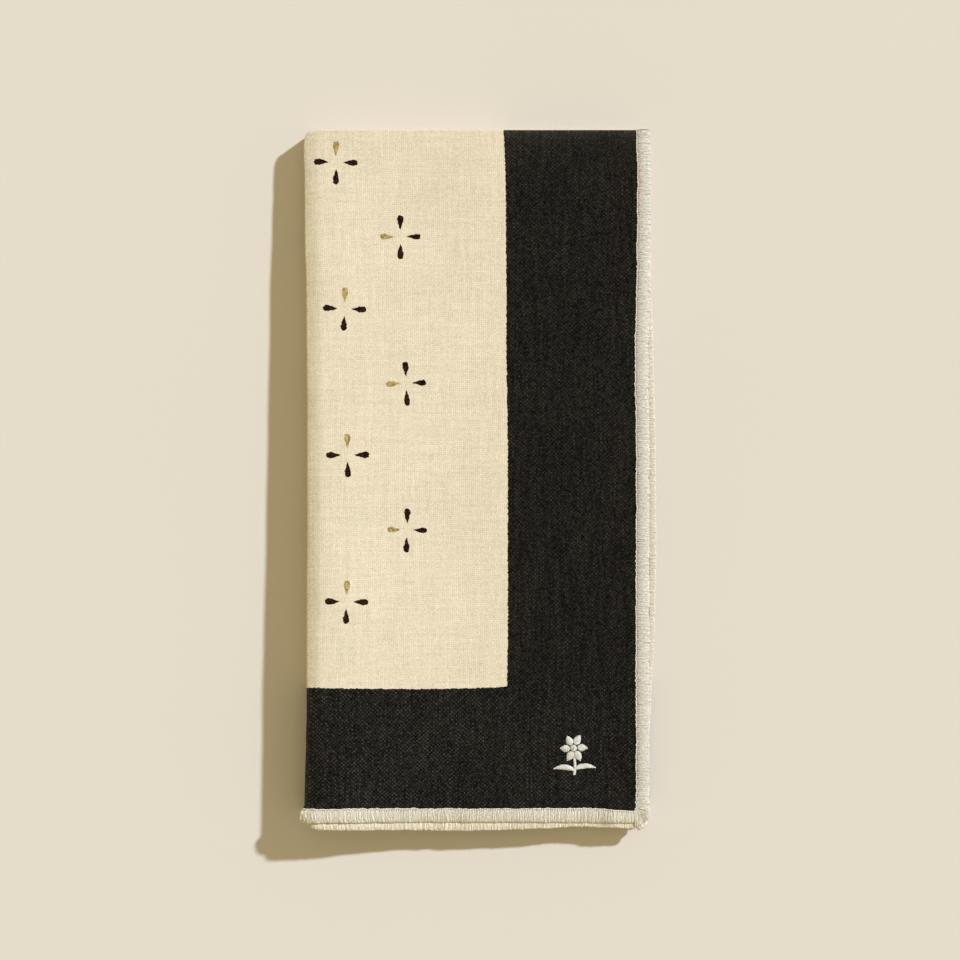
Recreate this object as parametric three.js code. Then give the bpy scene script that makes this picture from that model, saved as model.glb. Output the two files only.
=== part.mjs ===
// A dinner napkin of printed plain-weave cloth, folded for the table.
//
// The cloth is one square sheet. It is folded in half once across, with the crease at
// the far end (+Y), and then in half twice the other way, so that eight layers lie on
// each other. Its four overlocked edges are part of the sheet: all of them end along
// the near side (-Y), and the outer four layers end along the right side (+X).
//
// Frame: millimetres, +Z up, +Y along the long side, origin under the middle of the
// folded piece, on the surface it rests on.
import * as THREE from 'three';

// ---------------------------------------------------------------- driving dimensions
const CLOTH_SIDE = 500;          // side of the flat square, about 20 in
const FOLDED_LENGTH = 250.3;     // first crease to the near edge of the top layer
const LEFT_FOLD_X = -62.51;      // outermost face of the big left fold, before its wave
const RIGHT_EDGE_X = 61.69;      // cut edge of the top layer
const FAR_FOLD_Y = 126.73;       // outermost face of the far crease
const SHEET = 1.0;               // thickness of one layer
const LAYER_PITCH = 1.2;         // layer to layer, so the layers lie 0.2 apart
const RISER_RADIUS = 1.5;        // middle line of the doubled cloth at the big fold's two corners
const NEST_GAP = 0.3;            // small left fold to the big fold around it
const RIGHT_FOLD_X = 60.4;       // outermost face of the fold under the right edges
const CORNER_RADIUS = 3.2;       // rounded corners of the square
const CORNER_DIP = 1.1;          // how far the far crease falls back at the big fold
const NEST_DIP = 0.9;            // the same at the small left fold
const FAR_CORNER_IN = 3.2;       // how far the big fold draws in where it meets the far crease
const FAR_CORNER_REACH = 5.5;    // how far from the far crease that starts
const FAR_CORNER_WIDTH = 9;      // how far in from the big fold it is felt
const CREST_DISTANCE = 5.5;      // from the big fold in to the highest line of the stack
const SLOPE_DISTANCE = 30;       // to the middle of the slope that falls from the crest
const HOLLOW_DISTANCE = 60;      // to the foot of that slope

const DOUBLED = 2 * LAYER_PITCH;                 // pitch of the doubled cloth
const OFFSET = LAYER_PITCH / 2;                  // layer to the middle line of its doubled cloth
const SKIN = OFFSET + SHEET / 2;                 // middle line to the outer face
const LEVEL = [0, 1, 2, 3].map((i) => SKIN + i * DOUBLED);   // middle lines, lowest first
const SMALL_RADIUS = LAYER_PITCH;                // middle line of the two small folds
const BIG_X = LEFT_FOLD_X + SKIN;                // riser of the big fold
const NEST_X = BIG_X + SKIN + NEST_GAP + SMALL_RADIUS + SKIN;   // centre of the small left fold
const RIGHT_FOLD_CENTRE = RIGHT_FOLD_X - SMALL_RADIUS - SKIN;

// ---------------------------------------------------------------- short shape tables
// Left fold line: how far it stands right (+) or left (-) of LEFT_FOLD_X, along y.
const LEFT_WAVE = [
  { y: -127.0, shift: -0.5 },
  { y: -124.0, shift: -1.0 },
  { y: -122.3, shift: -1.9 },
  { y: -120.0, shift: -2.1 },
  { y: -118.4, shift: -0.95 },
  { y: -117.2, shift: -0.5 },
  { y: -112.0, shift: -0.42 },
  { y: -107.0, shift: -0.28 },
  { y: -95.0, shift: 0.03 },
  { y: -84.0, shift: 0.28 },
  { y: -58.0, shift: 0.2 },
  { y: -14.0, shift: 0.4 },
  { y: 29.0, shift: 0.32 },
  { y: 60.0, shift: 0.06 },
  { y: 74.0, shift: -0.1 },
  { y: 82.0, shift: -0.4 },
  { y: 90.0, shift: -0.58 },
  { y: 111.0, shift: -0.65 },
  { y: 117.5, shift: -1.02 },
  { y: 127.0, shift: -0.95 },
];
// Cut edges along the right side, for the four layers that end there: how far each
// stands out (+) from RIGHT_EDGE_X, along y. Layer 1 is the top one.
const RIGHT_EDGE = [
  { y: -127, layer1: 0.5, layer2: -0.6, layer3: -0.2, layer4: -0.3 },
  { y: -94, layer1: 0.3, layer2: 0.3, layer3: -0.3, layer4: -0.6 },
  { y: -73, layer1: 0.3, layer2: 1.1, layer3: 0.2, layer4: -0.9 },
  { y: -52, layer1: 0.4, layer2: 2.2, layer3: 0.9, layer4: -0.6 },
  { y: -29, layer1: 0.3, layer2: 2.8, layer3: 1.3, layer4: -0.4 },
  { y: 14, layer1: 0.35, layer2: 2.6, layer3: 1.0, layer4: -0.5 },
  { y: 47, layer1: 0.0, layer2: 1.8, layer3: 0.2, layer4: -0.8 },
  { y: 73, layer1: 0.5, layer2: 0.9, layer3: -0.2, layer4: -0.6 },
  { y: 112, layer1: 1.0, layer2: 0.4, layer3: 0.0, layer4: -0.5 },
  { y: 127, layer1: 0.5, layer2: 0.1, layer3: -0.2, layer4: -0.3 },
];
// Cut edges along the near side: how far they stand out toward -Y past the top layer's
// edge, along x. The halves folded behind stand out further than the front halves.
const NEAR_EDGE = [
  { x: -65, front: 0.3, behind: 0.0 },
  { x: -61.8, front: 0.3, behind: 0.2 },
  { x: -61, front: 0.3, behind: 1.0 },
  { x: -60, front: 0.3, behind: 1.9 },
  { x: -58.5, front: 0.3, behind: 2.4 },
  { x: -57, front: 0.3, behind: 2.75 },
  { x: -51, front: 0.3, behind: 3.0 },
  { x: -28, front: 0.35, behind: 3.15 },
  { x: -5, front: 0.4, behind: 3.5 },
  { x: 8, front: 0.45, behind: 3.2 },
  { x: 27, front: 0.5, behind: 2.6 },
  { x: 36, front: 0.55, behind: 2.05 },
  { x: 45, front: 0.6, behind: 2.4 },
  { x: 65, front: 0.7, behind: 3.1 },
];
// Height of the stack as a factor on its pressed height: at the big left fold, on the
// crest just inside it, half way down the slope, at the foot of it and on the right.
const STACK_HEIGHT = [
  { y: -127, fold: 1.25, crest: 1.42, slope: 1.1, hollow: 0.87, right: 0.82 },
  { y: -114, fold: 1.24, crest: 1.4, slope: 1.16, hollow: 0.95, right: 0.865 },
  { y: -91, fold: 1.26, crest: 1.42, slope: 1.24, hollow: 1.03, right: 0.9 },
  { y: -68, fold: 1.26, crest: 1.405, slope: 1.225, hollow: 1.035, right: 0.92 },
  { y: -48, fold: 1.22, crest: 1.378, slope: 1.21, hollow: 1.04, right: 0.94 },
  { y: -5, fold: 1.165, crest: 1.315, slope: 1.16, hollow: 1.02, right: 0.96 },
  { y: 29, fold: 1.113, crest: 1.258, slope: 1.11, hollow: 0.99, right: 0.95 },
  { y: 70, fold: 1.035, crest: 1.16, slope: 1.05, hollow: 0.95, right: 0.94 },
  { y: 100, fold: 0.93, crest: 1.05, slope: 0.99, hollow: 0.93, right: 0.92 },
  { y: 127, fold: 0.84, crest: 0.95, slope: 0.94, hollow: 0.92, right: 0.91 },
];
// Runs of the doubled cloth between its folds, along the sheet from its right edge:
// height level, where the run starts and ends, which layers its two sides are, and how
// far their near edges are drawn back at its start and at its end.
const RUNS = [
  { level: 3, from: 'edge', to: BIG_X + RISER_RADIUS, heading: -1, front: 1, behind: 2, setback: [0, 0] },
  { level: 0, from: BIG_X + RISER_RADIUS, to: RIGHT_FOLD_CENTRE, heading: 1, front: 8, behind: 7, setback: [0, 1.4] },
  { level: 1, from: RIGHT_FOLD_CENTRE, to: NEST_X, heading: -1, front: 5, behind: 6, setback: [1.4, 0.8] },
  { level: 2, from: NEST_X, to: 'edge', heading: 1, front: 4, behind: 3, setback: [0.8, 1.2] },
];
// Folds between the runs. turn is +1 where the path turns the way it does at the big
// fold; riser is the straight upright stretch between the two halves of the turn.
const FOLDS = [
  { radius: RISER_RADIUS, centreX: BIG_X + RISER_RADIUS, fromLevel: 3, toLevel: 0, turn: 1, dip: CORNER_DIP, steps: 3 },
  { radius: SMALL_RADIUS, centreX: RIGHT_FOLD_CENTRE, fromLevel: 0, toLevel: 1, turn: 1, dip: NEST_DIP, steps: 3 },
  { radius: SMALL_RADIUS, centreX: NEST_X, fromLevel: 1, toLevel: 2, turn: -1, dip: NEST_DIP, steps: 3 },
];
// Where the sheet is cut into facets: distances in from the near edge, and shares of a
// run's length from its start.
const FROM_NEAR_EDGE = [0, 0.5, 1.5, 3.2, 6, 10, 16, 30, 52, 80, 112, 146, 180, 212, 236, 241.5, 246.8];
const RUN_SHARES = [0, 0.04, 0.11, 0.24, 0.4, 0.56, 0.72, 0.85, 0.93, 0.975, 1];
const CREASE_STEPS = 6;

// ---------------------------------------------------------------- helpers
const clamp01 = (v) => Math.min(1, Math.max(0, v));
const smooth = (v) => { const c = clamp01(v); return c * c * (3 - 2 * c); };
const mix = (a, b, k) => a + (b - a) * k;

function readTable(rows, key, at, column) {
  if (at <= rows[0][key]) return rows[0][column];
  for (let i = 1; i < rows.length; i += 1) {
    if (at <= rows[i][key]) {
      const k = (at - rows[i - 1][key]) / (rows[i][key] - rows[i - 1][key]);
      return mix(rows[i - 1][column], rows[i][column], smooth(k));
    }
  }
  return rows[rows.length - 1][column];
}

// A smooth curve from a to b over a share k of its span, with given slopes at its ends.
function curve(a, b, slopeA, slopeB, span, k) {
  const k2 = k * k;
  const k3 = k2 * k;
  return a * (2 * k3 - 3 * k2 + 1) + b * (3 * k2 - 2 * k3)
    + span * (slopeA * (k3 - 2 * k2 + k) + slopeB * (k3 - k2));
}

// Stack height over the pressed stack at a place in plan: low at the big fold, highest
// on the crest just inside it, then falling toward the right side.
function heightFactor(x, y) {
  const read = (column) => readTable(STACK_HEIGHT, 'y', y, column);
  const [fold, crest, slope, hollow, right] = ['fold', 'crest', 'slope', 'hollow', 'right'].map(read);
  const inward = x - LEFT_FOLD_X;
  const upper = SLOPE_DISTANCE - CREST_DISTANCE;
  const lower = HOLLOW_DISTANCE - SLOPE_DISTANCE;
  const last = RIGHT_EDGE_X - LEFT_FOLD_X - HOLLOW_DISTANCE;
  const midSlope = 0.5 * ((slope - crest) / upper + (hollow - slope) / lower);
  const footSlope = 0.4 * ((hollow - slope) / lower);
  if (inward < CREST_DISTANCE) {
    return mix(crest, fold, (1 - clamp01(inward / CREST_DISTANCE)) ** 1.6);
  }
  if (inward < SLOPE_DISTANCE) {
    return curve(crest, slope, 0, midSlope, upper, (inward - CREST_DISTANCE) / upper);
  }
  if (inward < HOLLOW_DISTANCE) {
    return curve(slope, hollow, midSlope, footSlope, lower, (inward - SLOPE_DISTANCE) / lower);
  }
  return curve(hollow, right, footSlope, 0, last, clamp01((inward - HOLLOW_DISTANCE) / last));
}

// The regular folded sheet is bent to the real one: the left fold line waves and turns
// in a little at the far corner, and the stack is thicker on its left.
function settle(point) {
  const share = clamp01(-point.x / -LEFT_FOLD_X);
  const toCorner = clamp01((point.y - FAR_FOLD_Y) / FAR_CORNER_REACH + 1);
  const cornerShare = clamp01(1 - (point.x - LEFT_FOLD_X) / FAR_CORNER_WIDTH) ** 2;
  const corner = FAR_CORNER_IN * (1 - Math.sqrt(1 - toCorner ** 2)) * cornerShare;
  const x = point.x + share * readTable(LEFT_WAVE, 'y', point.y, 'shift') + corner;
  return new THREE.Vector3(x, point.y, point.z * heightFactor(point.x, point.y));
}

// Stations along the section of the doubled cloth. Each gives its place, the normal
// that points to the front half's side, and how far its end of the far crease dips.
function sectionStations() {
  const stations = [];
  RUNS.forEach((run, index) => {
    const normal = new THREE.Vector2(0, -run.heading);
    RUN_SHARES.forEach((share, i) => {
      const joinsFold = (i === 0 && run.from !== 'edge');
      const setback = mix(run.setback[0], run.setback[1], share);
      if (!joinsFold) stations.push({ kind: 'run', run, share, z: LEVEL[run.level], normal, setback, dip: 0 });
    });
    const fold = FOLDS[index];
    if (!fold) return;
    const zFrom = LEVEL[fold.fromLevel];
    const zTo = LEVEL[fold.toLevel];
    const up = Math.sign(zTo - zFrom);
    const heading = run.heading;
    for (let half = 0; half < 2; half += 1) {
      const centreZ = half === 0 ? zFrom + up * fold.radius : zTo - up * fold.radius;
      for (let i = 0; i <= fold.steps; i += 1) {
        const isStart = half === 0 && i === 0;
        const tall = Math.abs(zTo - zFrom) - 2 * fold.radius > 1e-6;
        if (isStart || (half === 1 && i === 0 && !tall)) continue;
        const angle = (Math.PI / 2) * (half + i / fold.steps);
        const outX = heading * Math.sin(angle);
        const outZ = -up * Math.cos(angle);
        stations.push({
          kind: 'fold',
          run: half === 0 ? run : RUNS[index + 1],
          x: fold.centreX + fold.radius * outX,
          z: centreZ + fold.radius * outZ,
          normal: new THREE.Vector2(outX, outZ).multiplyScalar(fold.turn),
          setback: run.setback[1],
          dip: fold.dip * Math.sin(angle) ** 2,
        });
      }
    }
  });
  return stations;
}

// Rows across the doubled cloth: up the front half from its near edge, round the far
// crease, and down the half behind. out is the side of the middle line, and lean the
// direction that the face looks in.
function acrossRows() {
  const rows = FROM_NEAR_EDGE.map((inFromEdge) => ({ half: 'front', inFromEdge, lean: 0 }));
  for (let i = 0; i <= CREASE_STEPS; i += 1) {
    rows.push({ half: 'crease', angle: (Math.PI * i) / CREASE_STEPS });
  }
  [...FROM_NEAR_EDGE].reverse().forEach((inFromEdge) => rows.push({ half: 'behind', inFromEdge, lean: Math.PI }));
  return rows;
}

// One point of the sheet: a station, a row and a side of the sheet (+1 is the printed
// side, which is outermost on the far crease).
function sheetPoint(station, row, side) {
  const half = row.half === 'crease' ? (row.angle < Math.PI / 2 ? 'front' : 'behind') : row.half;
  const creaseY = FAR_FOLD_Y - SKIN - station.dip;
  let x = station.x;
  let roundOff = 0;
  if (station.kind === 'run') {
    const roughY = row.half === 'crease' ? creaseY : FAR_FOLD_Y - FOLDED_LENGTH + row.inFromEdge;
    const layer = `layer${half === 'front' ? station.run.front : station.run.behind}`;
    const inFromEdge = row.half === 'crease' ? CORNER_RADIUS : Math.min(row.inFromEdge, CORNER_RADIUS);
    const hollow = CORNER_RADIUS - inFromEdge;
    roundOff = CORNER_RADIUS - Math.sqrt(Math.max(0, CORNER_RADIUS ** 2 - hollow ** 2));
    const edgeX = () => RIGHT_EDGE_X + readTable(RIGHT_EDGE, 'y', roughY, layer) - roundOff;
    const from = station.run.from === 'edge' ? edgeX() : station.run.from;
    const to = station.run.to === 'edge' ? edgeX() : station.run.to;
    x = mix(from, to, station.share);
  }
  const nearEdge = FAR_FOLD_Y - FOLDED_LENGTH
    - readTable(NEAR_EDGE, 'x', x, half === 'front' ? 'front' : 'behind')
    + station.setback;
  let out;
  let y;
  if (row.half === 'crease') {
    const reach = OFFSET + side * (SHEET / 2);
    out = reach * Math.cos(row.angle);
    y = creaseY + reach * Math.sin(row.angle);
  } else {
    const facing = row.half === 'front' ? 1 : -1;
    const share = row.inFromEdge / FOLDED_LENGTH;
    out = facing * (OFFSET + side * (SHEET / 2));
    y = mix(nearEdge, creaseY, share * (FOLDED_LENGTH / (FOLDED_LENGTH - SKIN)));
  }
  return settle(new THREE.Vector3(
    x + station.normal.x * out,
    y,
    station.z + station.normal.y * out,
  ));
}

function foldedSheet() {
  const stations = sectionStations();
  const rows = acrossRows();
  const columns = rows.length;
  const perSide = stations.length * columns;
  const positions = [];
  [1, -1].forEach((side) => {
    stations.forEach((station) => {
      rows.forEach((row) => {
        const p = sheetPoint(station, row, side);
        positions.push(p.x, p.y, p.z);
      });
    });
  });
  const index = [];
  const at = (side, i, j) => (side > 0 ? 0 : perSide) + i * columns + j;
  const quad = (a, b, c, d) => { index.push(a, b, c, a, c, d); };
  for (let i = 0; i + 1 < stations.length; i += 1) {
    for (let j = 0; j + 1 < columns; j += 1) {
      quad(at(1, i, j), at(1, i, j + 1), at(1, i + 1, j + 1), at(1, i + 1, j));
      quad(at(-1, i, j), at(-1, i + 1, j), at(-1, i + 1, j + 1), at(-1, i, j + 1));
    }
  }
  const last = stations.length - 1;
  for (let j = 0; j + 1 < columns; j += 1) {
    quad(at(1, 0, j), at(-1, 0, j), at(-1, 0, j + 1), at(1, 0, j + 1));
    quad(at(1, last, j + 1), at(-1, last, j + 1), at(-1, last, j), at(1, last, j));
  }
  for (let i = 0; i < last; i += 1) {
    quad(at(1, i + 1, 0), at(-1, i + 1, 0), at(-1, i, 0), at(1, i, 0));
    quad(at(1, i, columns - 1), at(-1, i, columns - 1), at(-1, i + 1, columns - 1), at(1, i + 1, columns - 1));
  }
  const geometry = new THREE.BufferGeometry();
  geometry.setAttribute('position', new THREE.Float32BufferAttribute(positions, 3));
  geometry.setIndex(index);
  geometry.computeVertexNormals();
  return geometry;
}

// ---------------------------------------------------------------- the napkin
const cloth = new THREE.Mesh(
  foldedSheet(),
  new THREE.MeshStandardMaterial({ color: 0xede0c4, roughness: 0.9, metalness: 0.0 }),
);
cloth.name = 'napkin_cloth';

const napkin = new THREE.Group();
napkin.add(cloth);

export default napkin;
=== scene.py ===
# A printed cotton dinner napkin, folded in half once across and in half twice the other
# way. The cloth is one sheet that goes through every fold; its four edges are overlocked
# with real thread loops. Lengths in the tables are millimetres, Blender's are metres.
import math

import bpy
import numpy as np
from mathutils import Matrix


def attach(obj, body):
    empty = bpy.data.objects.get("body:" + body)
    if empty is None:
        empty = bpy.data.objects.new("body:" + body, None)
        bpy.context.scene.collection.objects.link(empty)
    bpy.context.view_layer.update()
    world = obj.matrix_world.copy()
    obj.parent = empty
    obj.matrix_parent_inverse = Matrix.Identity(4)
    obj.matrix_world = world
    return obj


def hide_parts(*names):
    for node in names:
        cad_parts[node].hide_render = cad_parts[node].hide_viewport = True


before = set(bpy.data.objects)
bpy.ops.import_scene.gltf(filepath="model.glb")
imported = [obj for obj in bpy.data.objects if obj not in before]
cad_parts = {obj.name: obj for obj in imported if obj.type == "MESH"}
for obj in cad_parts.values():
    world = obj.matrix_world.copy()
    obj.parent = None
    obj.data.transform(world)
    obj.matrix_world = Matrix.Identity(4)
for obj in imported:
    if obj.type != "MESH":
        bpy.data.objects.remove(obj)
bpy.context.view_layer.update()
MM = 0.001
rng = np.random.default_rng(20)

# ---------------------------------------------------------------- the fold, as in the model
LEFT_FOLD_X = -62.51        # outermost face of the big left fold, before its wave
RIGHT_EDGE_X = 61.69        # cut edge of the top layer
FAR_FOLD_Y = 126.73         # outermost face of the far crease
FOLDED_LENGTH = 250.3
PITCH = 1.2                 # layer to layer, before the stack's own height
HALF = 0.30                 # half the thickness of the cloth
OFFSET = PITCH / 2          # layer to the middle line of its doubled cloth
SKIN = OFFSET + HALF
BIG_R, SMALL_R, NEST_GAP = 1.5, 1.2, 0.3
RIGHT_FOLD_X = 60.4
CORNER_R = 3.2              # rounded corners of the square
CREST, SLOPE, FOOT = 5.5, 30.0, 60.0   # from the big fold in to the crest, the middle and the foot of its slope
LEVEL = [1.1 + i * 2 * PITCH for i in range(4)]
BIG_X = LEFT_FOLD_X + SKIN
NEST_X = BIG_X + SKIN + NEST_GAP + SMALL_R + SKIN
RIGHT_C = RIGHT_FOLD_X - SMALL_R - SKIN
HEM = 5.0                   # width of the overlocked edge
STITCH = 0.83               # stitch to stitch along the edge

LEFT_WAVE = np.array([
    (-127, -0.5), (-124, -1.0), (-122.3, -1.9), (-120, -2.1), (-118.4, -0.95), (-117.2, -0.5), (-112, -0.42), (-107, -0.28),
    (-95, 0.03), (-84, 0.28), (-58, 0.2), (-14, 0.4), (29, 0.32), (60, 0.06), (74, -0.1), (82, -0.4),
    (90, -0.58), (111, -0.65), (117.5, -1.02), (127, -0.95)], float)
# y, then how far the cut edges of layers 1 to 4 stand out past RIGHT_EDGE_X
RIGHT_EDGE = np.array([
    (-127, 0.5, -0.6, -0.2, -0.3), (-94, 0.3, 0.3, -0.3, -0.6), (-73, 0.3, 1.1, 0.2, -0.9), (-52, 0.4, 2.2, 0.9, -0.6),
    (-29, 0.3, 2.8, 1.3, -0.4), (14, 0.35, 2.6, 1.0, -0.5), (47, 0.0, 1.8, 0.2, -0.8), (73, 0.5, 0.9, -0.2, -0.6),
    (112, 1.0, 0.4, 0.0, -0.5), (127, 0.5, 0.1, -0.2, -0.3)], float)
# x, then how far the near edges of the front and the behind halves stand out
NEAR_EDGE = np.array([
    (-65, 0.3, 0.0), (-61.8, 0.3, 0.2), (-61, 0.3, 1.0), (-60, 0.3, 1.9), (-58.5, 0.3, 2.4), (-57, 0.3, 2.75), (-51, 0.3, 3.0),
    (-28, 0.35, 3.15), (-5, 0.4, 3.5), (8, 0.45, 3.2), (27, 0.5, 2.6), (36, 0.55, 2.05), (45, 0.6, 2.4), (65, 0.7, 3.1)], float)
# y, then the stack's height factor at the fold, the crest, the slope, its foot and the right
STACK = np.array([
    (-127, 1.25, 1.42, 1.1, 0.87, 0.82), (-114, 1.24, 1.4, 1.16, 0.95, 0.865), (-91, 1.26, 1.42, 1.24, 1.03, 0.9),
    (-68, 1.26, 1.405, 1.225, 1.035, 0.92), (-48, 1.22, 1.378, 1.21, 1.04, 0.94), (-5, 1.165, 1.315, 1.16, 1.02, 0.96),
    (29, 1.113, 1.258, 1.11, 0.99, 0.95), (70, 1.035, 1.16, 1.05, 0.95, 0.94), (100, 0.93, 1.05, 0.99, 0.93, 0.92),
    (127, 0.84, 0.95, 0.94, 0.92, 0.91)])
# how far the near edges of the four doubled runs are drawn back, at the start and the end
SETBACK = [(0.0, 0.0), (0.0, 1.4), (1.4, 0.8), (0.8, 1.2)]
FAR_CORNER_IN, FAR_CORNER_REACH, FAR_CORNER_WIDTH = 3.2, 5.5, 9.0
# x, then how much lower (-) or higher (+) the stack lies along its near edge, as a share
NEAR_SAG = np.array([
    (-65, 0), (-36, 0), (-31.5, -0.015), (-27, -0.04), (-21, -0.06), (-16, -0.04), (-12, 0.005), (-8, -0.03), (-3, 0.0),
    (10, 0.0), (18, 0.025), (25, 0.03), (31, 0.0), (37, -0.08), (43, -0.1), (49, 0.05), (54, -0.01), (59, -0.08), (65, -0.1)], float)

FRONT = FOLDED_LENGTH - SKIN            # near edge to the start of the far crease
ROUND = math.pi * OFFSET                # once round the far crease
LENGTH_V = 2 * FRONT + ROUND
RUN = [RIGHT_EDGE_X - (BIG_X + BIG_R), RIGHT_C - (BIG_X + BIG_R), RIGHT_C - NEST_X, RIGHT_EDGE_X - NEST_X]
RISER = (LEVEL[3] - LEVEL[0]) - 2 * BIG_R
TURN = [math.pi * BIG_R + RISER, math.pi * SMALL_R, math.pi * SMALL_R]
MARKS = np.cumsum([0, RUN[0], TURN[0], RUN[1], TURN[1], RUN[2], TURN[2], RUN[3]])
LENGTH_U = float(MARKS[-1])


def smooth(t):
    t = np.clip(t, 0.0, 1.0)
    return t * t * (3 - 2 * t)


def table(rows, at, column):
    """Value of a column at a place, eased between its rows as the model does."""
    at = np.asarray(at, float)
    i = np.clip(np.searchsorted(rows[:, 0], at, side="left"), 1, len(rows) - 1)
    k = smooth((at - rows[i - 1, 0]) / (rows[i, 0] - rows[i - 1, 0]))
    return rows[i - 1, column] * (1 - k) + rows[i, column] * k


def curve(a, b, slope_a, slope_b, span, k):
    """A smooth curve from a to b over a span, with given slopes at its ends."""
    return (a * (2 * k**3 - 3 * k**2 + 1) + b * (3 * k**2 - 2 * k**3)
            + span * (slope_a * (k**3 - 2 * k**2 + k) + slope_b * (k**3 - k**2)))


def height(x, y):
    """Height of the stack over its pressed height at a place in plan."""
    fold, crest, slope, foot, right = (table(STACK, y, c) for c in range(1, 6))
    inward = x - LEFT_FOLD_X
    upper, lower, last = SLOPE - CREST, FOOT - SLOPE, RIGHT_EDGE_X - LEFT_FOLD_X - FOOT
    at_slope = 0.5 * ((slope - crest) / upper + (foot - slope) / lower)
    at_foot = 0.4 * (foot - slope) / lower
    f = crest + (fold - crest) * np.clip(1 - inward / CREST, 0, 1) ** 1.6
    f = np.where(inward > CREST, curve(crest, slope, 0, at_slope, upper, (inward - CREST) / upper), f)
    f = np.where(inward > SLOPE, curve(slope, foot, at_slope, at_foot, lower, (inward - SLOPE) / lower), f)
    f = np.where(inward > FOOT, curve(foot, right, at_foot, 0, last, np.clip((inward - FOOT) / last, 0, 1)), f)
    ripple = (0.010 * np.sin(x / 11.5 + 0.9) * np.sin(y / 17.0 + 2.2)
              + 0.007 * np.sin(x / 7.3 - y / 23.0 + 0.4) + 0.006 * np.sin(y / 9.1 + x / 31.0 + 1.7))
    near_hem = np.exp(-np.clip(y + 123.6, 0, None) / 9.0)
    ripple = ripple + near_hem * (0.018 * np.sin(x / 6.1 + 0.6) + 0.014 * np.sin(x / 3.4 + 2.0) + table(NEAR_SAG, x, 1))
    return f * (1 + ripple * smooth(inward / 9.0))


# pressed corners: squarer than a circle, and walked along at an even pace
FOLD_PRESS, CREASE_PRESS = 0.14, 0.12


def corner_angle(share, power):
    angle = np.linspace(0, math.pi / 2, 721)
    walk = np.hypot(np.diff(np.sin(angle) ** power), np.diff(np.maximum(np.cos(angle), 0) ** power))
    walk = np.concatenate([[0], np.cumsum(walk)]) / walk.sum()
    return np.interp(share, walk, angle)


def corner_dip(amount, reach, inward):
    return amount * np.clip(1 - inward / reach, 0, 1) ** 2.3


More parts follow.
